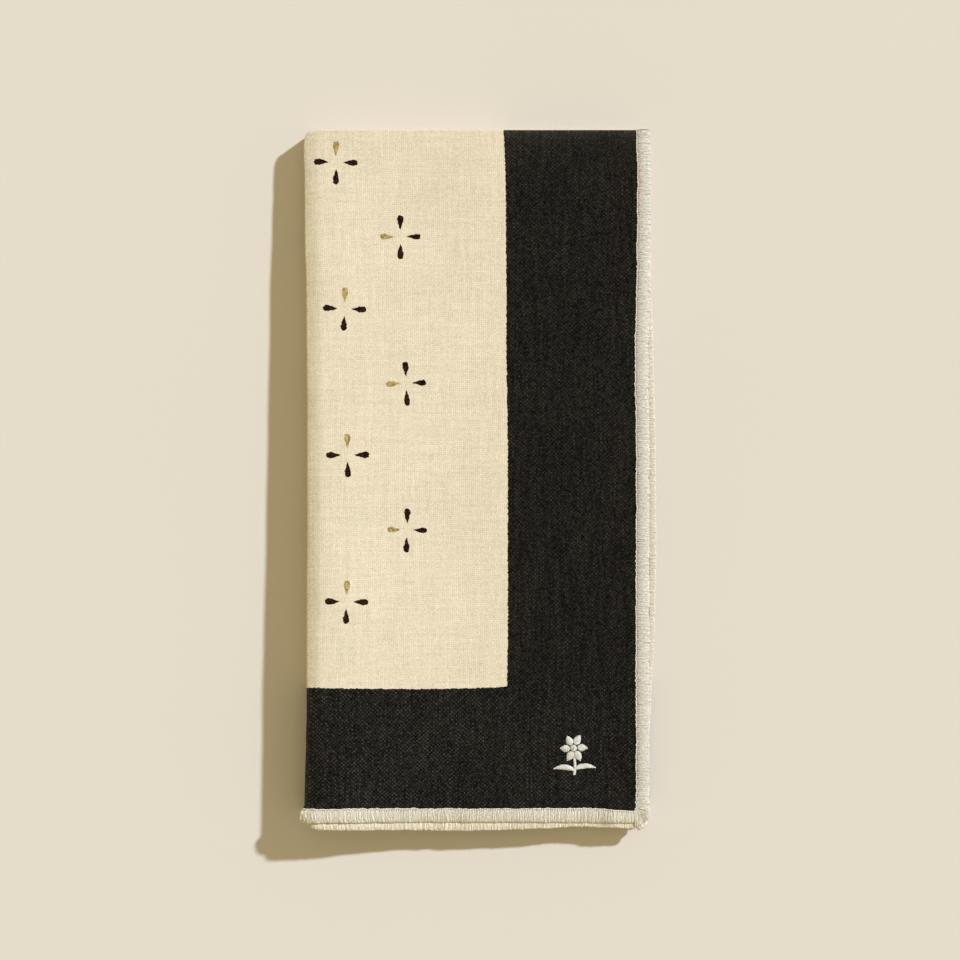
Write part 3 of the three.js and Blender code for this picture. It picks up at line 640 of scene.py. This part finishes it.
class Net:
    def __init__(self, name):
        self.material = bpy.data.materials.new(name)
        self.material.use_nodes = True
        self.tree = self.material.node_tree
        self.tree.nodes.clear()
        self.shader = self.tree.nodes.new("ShaderNodeBsdfPrincipled")
        output = self.tree.nodes.new("ShaderNodeOutputMaterial")
        self.tree.links.new(self.shader.outputs[0], output.inputs["Surface"])

    def node(self, kind, **settings):
        node = self.tree.nodes.new(kind)
        for key, value in settings.items():
            setattr(node, key, value)
        return node

    def link(self, a, b):
        self.tree.links.new(a.out if isinstance(a, Value) else a, b)

    def combine(self, x, y, z=0.0):
        node = self.node("ShaderNodeCombineXYZ")
        for socket, value in zip(node.inputs, (x, y, z)):
            if isinstance(value, Value):
                self.link(value, socket)
            else:
                socket.default_value = value
        return node.outputs[0]

    def noise(self, vector, scale=1.0, detail=2.0, rough=0.5):
        node = self.node("ShaderNodeTexNoise", noise_dimensions="2D")
        self.link(vector, node.inputs["Vector"])
        node.inputs["Scale"].default_value = scale
        node.inputs["Detail"].default_value = detail
        node.inputs["Roughness"].default_value = rough
        return Value(self, node.outputs[0])

    def random(self, x, y=None):
        node = self.node("ShaderNodeTexWhiteNoise", noise_dimensions="2D")
        self.link(self.combine(x, y if y is not None else 0.0), node.inputs["Vector"])
        return Value(self, node.outputs["Value"])

    def mix(self, factor, a, b, blend="MIX"):
        node = self.node("ShaderNodeMix", data_type="RGBA", blend_type=blend)
        fac, sa, sb = node.inputs[0], node.inputs[6], node.inputs[7]
        for socket, value in ((fac, factor), (sa, a), (sb, b)):
            if isinstance(value, Value):
                self.link(value, socket)
            elif isinstance(value, (tuple, list)):
                socket.default_value = (*value, 1.0)
            elif isinstance(value, (int, float)):
                socket.default_value = value
            else:
                self.link(value, socket)
        return node.outputs[2]

    def scale_colour(self, colour, factor):
        """colour times a grey factor"""
        node = self.node("ShaderNodeVectorMath", operation="SCALE")
        if isinstance(colour, (tuple, list)):
            node.inputs[0].default_value = colour
        else:
            self.link(colour, node.inputs[0])
        self.link(factor, node.inputs[3])
        return node.outputs[0]

    def add_colours(self, a, b):
        node = self.node("ShaderNodeVectorMath", operation="ADD")
        self.link(a, node.inputs[0])
        self.link(b, node.inputs[1])
        return node.outputs[0]

    def bump(self, height, distance, strength=1.0):
        node = self.node("ShaderNodeBump")
        node.inputs["Strength"].default_value = strength
        node.inputs["Distance"].default_value = distance
        self.link(height, node.inputs["Height"])
        self.link(node.outputs[0], self.shader.inputs["Normal"])

    def finish(self, colour=None, **sockets):
        if colour is not None:
            self.link(colour, self.shader.inputs["Base Color"])
        for key, value in sockets.items():
            self.shader.inputs[key.replace("_", " ")].default_value = value
        return self.material


CREAM = (0.734, 0.620, 0.440)
INK = (0.0107, 0.0088, 0.0057)
INK_CROWN = (0.0100, 0.0093, 0.0088)
INK_DROP = (0.0134, 0.0052, 0.0014)
OCHRE = (0.350, 0.240, 0.080)


def weave(net, U, V):
    """Plain weave of uneven yarns. Gives the height over the cloth, how much an upright
    yarn lies on top (-1 to 1), the yarn numbers and how thick each yarn is along it."""
    drift = net.noise(net.combine(U * 0.021, V * 0.021), detail=1.0)
    cu = U / 0.735 + drift * 1.6 + net.noise(net.combine(U * 0.05, V * 0.5), detail=2.0) * 0.9
    cv = V / 0.700 + drift * 1.3 + net.noise(net.combine(U * 0.5 + 40.0, V * 0.05), detail=2.0) * 0.9
    iu, iv = cu.floor(), cv.floor()
    a, b = (cu * math.pi).sin(), (cv * math.pi).sin()
    cross = a * b
    upright = cross.gt(0.0)
    ra, rb = a.abs(), b.abs()
    slub_u = net.noise(net.combine(iu * 3.71, V * 0.055), detail=1.0, rough=0.6)
    slub_v = net.noise(net.combine(U * 0.055, iv * 4.13), detail=1.0, rough=0.6)
    over_u = ra.sqrt() * (rb * 0.45 + 0.55) * (slub_u * 0.9 + 0.55)
    over_v = rb.sqrt() * (ra * 0.45 + 0.55) * (slub_v * 0.9 + 0.55)
    rise = over_u * upright + over_v * (1.0 - upright)
    return rise, cross, iu, iv, upright, slub_u, slub_v


def drops(net, U, V, first_u, first_v, last_column, kind, rough):
    """One column family of the four-drop spots. Gives black and ochre coverage."""
    j = ((V - first_v) / 52.95).round().max(0.0).min(6.0)
    vc = j * 52.95 + first_v
    far = ((vc - 250.0).abs() * -1.0 + 250.0)     # the drift is the same from both ends
    bend = ((far - 112.0) / 126.7)
    drift = (bend * bend * -11.5 + 4.5) * 0.3615 + (far - 165.0) * 0.0059
    du = U + drift
    k = ((du - first_u) / 43.4).round().max(0.0).min(float(last_column))
    # each spot is a little off its place and turned
    r1, r2, r3 = net.random(j + 0.5, k * 7.3 + kind), net.random(j + 30.5, k * 5.1 + kind), net.random(j + 60.5, k * 3.7 + kind)
    x = (du - first_u - k * 43.4) * -1.0 + (r1 - 0.5) * 0.4
    y = (V - vc) + (r2 - 0.5) * 0.35
    turn = (r3 - 0.5) * 0.09
    x2 = x - y * turn
    y2 = y + x * turn
    x2 = x2 + (rough[0] - 0.5) * 0.26
    y2 = y2 + (rough[1] - 0.5) * 0.26
    ax, ay = x2.abs(), y2.abs()
    tall = ay.gt(ax)                                # the upright pair of drops
    r = ax.max(ay)
    lateral = ax.min(ay)
    down = tall * y2.lt(0.0)
    level = 1.0 - tall
    stretch = tall * (0.035 if kind == 0 else 0.05) + down * 0.05 + level * (0.055 if kind == 0 else -0.02) + 1.0
    t = (r / stretch - 2.30) / 5.10
    body = (t / 0.64).max(0.0).min(1.0).power(0.85)
    end = (1.0 - ((t - 0.64) / 0.36).max(0.0).power(3.2)).max(0.0).sqrt()
    half = body * end * ((tall * 0.10 + level * 0.14 + 1.02) if kind == 0 else (tall * 0.10 + 1.02))
    inside = ((half - lateral) * 6.0 + 0.5).clamp() * t.gt(0.0) * t.lt(1.0)
    if kind == 0:      # ochre drop at the top
        gold = tall * y2.gt(0.0)
    else:              # ochre drop at the left
        gold = (1.0 - tall) * x2.lt(0.0)
    return inside * (1.0 - gold), inside * gold


def print_masks(net, U, V, iu, iv):
    """Coverage of the dark border and of the spots, both ragged by the yarns."""
    rough = (net.random(iu, iv), net.random(iu + 77.0, iv + 13.0))
    frayed = net.noise(net.combine(U * 1.1, V * 1.1), detail=1.0)
    from_far = (V * -1.0 + 250.0).max(0.0)
    lean = (from_far * (-1.0 / 125.0)) + 1.0
    slope = from_far * (1.1 / 250.0) - lean * lean * 1.13 + lean * 0.15 + 0.38
    ragged = (rough[0] - 0.5) * 0.28 + (frayed - 0.5) * 0.25
    wide_u = 52.4 - slope
    near_u = (U.min(U * -1.0 + LENGTH_U) - wide_u + ragged)
    bowed = (((U - 88.0).abs() / 36.0).min(1.08)).power(4.0) * 0.62       # the print's end bows a little
    near_v = (V.min(V * -1.0 + LENGTH_V) - 48.87 - bowed + ragged + net.noise(net.combine(U * 0.03, 3.0), detail=0.0) * 0.5)
    border = ((near_u.min(near_v)) * -7.0 + 0.5).clamp()
    a_black, a_gold = drops(net, U, V, 110.64, 79.8, 6, 0, rough)
    b_black, b_gold = drops(net, U, V, 89.31, 105.95, 7, 1, rough)
    ink = border.max(a_black).max(b_black)
    gold = a_gold.max(b_gold)
    # small dark specks on the big fold, in the ink's colour
    for u, v, ru, rv in ((124.5, 192.4, 0.30, 0.34), (124.4, 139.8, 0.22, 0.50), (124.6, 114.7, 0.16, 0.22), (124.4, 82.2, 0.26, 0.66)):
        eu, ev = (U - u) / ru, (V - v) / rv
        ink = ink.max((1.0 - (eu * eu + ev * ev)).gt(0.0) * 0.9)
    return ink, gold, border, rough


def printed_material():
    net = Net("printed_cotton")
    uv = net.node("ShaderNodeUVMap", uv_map="flat")
    split = net.node("ShaderNodeSeparateXYZ")
    net.link(uv.outputs[0], split.inputs[0])
    U, V = Value(net, split.outputs[0]) * 500.0, Value(net, split.outputs[1]) * 500.0
    rise, cross, iu, iv, upright, slub_u, slub_v = weave(net, U, V)
    ink, gold, border, rough = print_masks(net, U, V, iu, iv)
    fleck = net.random(iu * 1.7 + 5.0, iv * 1.3 + 9.0)
    grain = net.random((U * 3.1).floor(), (V * 3.1).floor())
    blotch = net.noise(net.combine(U * 0.05, V * 0.05), detail=3.0)
    # bare cloth: every yarn its own tone, with painted shade making the gaps between yarns a little darker
    bare = (rise * 0.035 + cross * 0.022 + slub_u * 0.155 + slub_v * 0.155 + blotch * 0.03
            + fleck * 0.055 + grain * 0.19 + 0.628)
    cream = net.scale_colour(CREAM, bare)
    # ink: thinner where an upright yarn lies on top, thread by thread
    worn = (((U - 45.0) / 25.0).clamp() * 0.40).max(((V * -1.0 + 56.0) / 10.0).clamp() * 0.28) + 1.0
    crown = cross.max(0.0) * (slub_u * 2.0 - 0.2).max(0.0) * (fleck * 1.5 + 0.25)
    thin = (grain - 0.5) * 1.9 * worn + (fleck - 0.5) * 0.7 + (slub_u - 0.5) * 0.9 + (blotch - 0.5) * 0.6 + 0.80
    dark = net.add_colours(net.scale_colour(net.mix(border, INK_DROP, INK), thin.max(0.12)),
                           net.scale_colour(net.mix(border, INK_DROP, INK_CROWN), crown * worn * worn * 1.55))
    # the far crease has rubbed the ink thinner; painted light also lightens it along the big fold's edge
    from_crease = (V - FRONT - ROUND / 2).abs()
    rubbed_and_painted_light = (from_crease * -0.83).op("EXPONENT") * 0.038 + (from_crease * -0.14).op("EXPONENT") * 0.012
    # painted light: the ink lighter along the big fold's outer edge
    from_fold = (U - MARKS[1] - math.pi / 4 * BIG_R).abs()
    rubbed_and_painted_light = rubbed_and_painted_light + (from_fold * -2.0).op("EXPONENT") * 0.045
    dark = net.mix(rubbed_and_painted_light * (rise * 0.8 + 0.4), dark, CREAM)
    patch = net.noise(net.combine(U * 1.3, V * 1.3), detail=2.0)
    # ochre print, with painted shade making it darker in the yarn gaps
    ochre = net.scale_colour(OCHRE, rise * 0.35 + fleck * 0.75 + patch * 0.8 + 0.0)
    cover = (gold * ((patch - 0.22) * 6.0 + (grain - 0.5) * 1.2).clamp()).clamp()
    colour = net.mix(cover, cream, ochre)
    colour = net.mix(ink, colour, dark)
    net.bump(rise, 0.00007, 0.7)
    return net.finish(colour, Roughness=0.95, Sheen_Weight=0.03, Sheen_Roughness=0.5, Specular_IOR_Level=0.06)


def reverse_material():
    """The back of the print: the cloth's own cream with the ink struck through a little."""
    net = Net("cotton_reverse")
    uv = net.node("ShaderNodeUVMap", uv_map="flat")
    split = net.node("ShaderNodeSeparateXYZ")
    net.link(uv.outputs[0], split.inputs[0])
    U, V = Value(net, split.outputs[0]) * 500.0, Value(net, split.outputs[1]) * 500.0
    rise, cross, iu, iv, upright, slub_u, slub_v = weave(net, U, V)
    ink, gold, border, rough = print_masks(net, U, V, iu, iv)
    fleck = net.random(iu * 1.7 + 5.0, iv * 1.3 + 9.0)
    # the cloth's own tones, with painted shade a little darker in the gaps between yarns
    bare = rise * 0.05 + slub_u * 0.13 + slub_v * 0.13 + fleck * 0.08 + 0.73
    cream = net.scale_colour(CREAM, bare)
    through = (ink * (fleck * 0.30 + 0.30 + (1.0 - rise) * 0.15)).clamp()
    # the struck-through ink, with painted shade darker in the yarn gaps
    grey = net.scale_colour((0.20, 0.185, 0.150), rise * 0.3 + 0.8)
    colour = net.mix(through, cream, grey)
    net.bump(rise, 0.00007, 0.7)
    return net.finish(colour, Roughness=0.95, Sheen_Weight=0.03, Sheen_Roughness=0.5, Specular_IOR_Level=0.06)


def thread_material(name, front, back, sheen):
    """Soft spun thread: fine twist in its bump, each stitch its own tone; on the edge thread that tone also carries
    painted shade and light.
    """
    net = Net(name)
    place_node = net.node("ShaderNodeTexCoord")
    split = net.node("ShaderNodeSeparateXYZ")
    net.link(place_node.outputs["Object"], split.inputs[0])
    x, y, z = (Value(net, split.outputs[k]) * 1000.0 for k in range(3))
    attr = net.node("ShaderNodeAttribute", attribute_name="tone")
    own = Value(net, attr.outputs["Fac"])
    fibre = net.noise(net.combine(x * 1.35 + z * 1.1, y * 1.35), detail=2.0, rough=0.5)
    streak = net.noise(net.combine(x * 0.16, y * 0.16 + z * 0.3), detail=2.0)
    shade = fibre * 0.62 + own * 0.028 + streak * 0.06 + 0.66
    if back is None:
        colour = net.scale_colour(front, shade)
    else:
        which = net.node("ShaderNodeAttribute", attribute_name="side")
        colour = net.scale_colour(net.mix(Value(net, which.outputs["Fac"]), back, front), shade)
    twist = ((x * 9.0 + y * 9.0 + z * 7.0 + fibre * 3.0).sin() * 0.5 + 0.5)
    net.bump(twist * 0.6 + fibre * 0.8, 0.00005, 0.6)
    return net.finish(colour, Roughness=0.72, Sheen_Weight=sheen, Sheen_Roughness=0.4, Specular_IOR_Level=0.3)


def floor_material():
    net = Net("matte_paper")
    place_node = net.node("ShaderNodeTexCoord")
    split = net.node("ShaderNodeSeparateXYZ")
    net.link(place_node.outputs["Object"], split.inputs[0])
    x, y = Value(net, split.outputs[0]), Value(net, split.outputs[1])
    cloud = net.noise(net.combine(x * 5.0, y * 5.0), detail=2.0)
    colour = net.scale_colour((0.680, 0.605, 0.505), cloud * 0.02 + 0.99)
    grain = net.noise(net.combine(x * 2600.0, y * 2600.0), detail=1.0)
    net.bump(grain, 0.00002, 0.3)
    return net.finish(colour, Roughness=0.95, Specular_IOR_Level=0.1)


# ---------------------------------------------------------------- build the pieces
cloth = make_cloth()
hems = [
    make_hem("overlock_near_front", 0, True, False),
    make_hem("overlock_near_behind", 1, True, True),
    make_hem("overlock_right_top", 2, False, False),
    make_hem("overlock_right_inner", 3, False, True),
]
blossom = make_blossom()

cloth.data.materials.append(printed_material())
cloth.data.materials.append(reverse_material())
hem_thread = thread_material("edge_thread", (0.680, 0.612, 0.486), (0.730, 0.636, 0.486), 0.06)
for hem in hems:
    hem.data.materials.append(hem_thread)
blossom.data.materials.append(thread_material("embroidery_thread", (0.66, 0.62, 0.54), None, 0.12))

for piece in [cloth, *hems, blossom]:
    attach(piece, "root")
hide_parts("napkin_cloth")

# ---------------------------------------------------------------- floor, light and camera
bpy.ops.mesh.primitive_plane_add(size=6.0, location=(0, 0, 0))
floor = bpy.context.object
floor.name = "paper_floor"
floor.data.materials.append(floor_material())

scene = bpy.context.scene
from mathutils import Vector


def soft_sun(name, direction, elevation, energy, colour, angle):
    data = bpy.data.lights.new(name, "SUN")
    data.energy, data.color, data.angle = energy, colour, angle
    lamp = bpy.data.objects.new(name, data)
    scene.collection.objects.link(lamp)
    flat = math.cos(elevation)
    lamp.rotation_mode = "QUATERNION"
    lamp.rotation_quaternion = Vector((direction[0] * flat, direction[1] * flat, math.sin(elevation))).to_track_quat("Z", "Y")
    return lamp


TOTAL = 1.15
KEY_RISE = math.radians(29.0)
soft_sun("key_light", (0.81, 0.585), KEY_RISE, TOTAL * math.pi / math.sin(KEY_RISE), (0.531, 0.602, 0.740), 0.05)
# a wide soft light from above, the rest of the fill comes from the pale surroundings
soft_sun("fill_light", (-0.90, -0.43), math.radians(78.0), 0.257, (0.93, 0.79, 0.48), 1.4)

world = bpy.data.worlds.new("studio")
scene.world = world
world.use_nodes = True
nodes, links = world.node_tree.nodes, world.node_tree.links
nodes.clear()
background = nodes.new("ShaderNodeBackground")
output = nodes.new("ShaderNodeOutputWorld")
links.new(background.outputs[0], output.inputs["Surface"])
# pale near the horizon, as a studio's backdrop, and dimmer above
sky = nodes.new("ShaderNodeTexCoord")
parts = nodes.new("ShaderNodeSeparateXYZ")
ramp = nodes.new("ShaderNodeValToRGB")
links.new(sky.outputs["Generated"], parts.inputs[0])
links.new(parts.outputs[2], ramp.inputs[0])
links.new(ramp.outputs[0], background.inputs["Color"])
ramp.color_ramp.elements[0].position, ramp.color_ramp.elements[0].color = 0.17, (0.95, 0.88, 0.74, 1.0)
ramp.color_ramp.elements[1].position, ramp.color_ramp.elements[1].color = 0.36, (0.434, 0.389, 0.237, 1.0)
background.inputs["Strength"].default_value = 1.0

camera_data = bpy.data.cameras.new("camera")
camera_data.sensor_width = 36.0
DISTANCE, FRAME_WIDTH, TOP_Z = 1.19, 0.34704, 0.0095
camera_data.lens = 36.0 * DISTANCE / FRAME_WIDTH
camera_data.clip_start, camera_data.clip_end = 0.05, 30.0
camera = bpy.data.objects.new("camera", camera_data)
scene.collection.objects.link(camera)
camera.location = (0.39 * MM, 0.09 * MM, DISTANCE + TOP_Z)
camera.rotation_euler = (0.0, 0.0, 0.0)
scene.camera = camera
scene.view_settings.view_transform = "Standard"
scene.view_settings.look = "None"
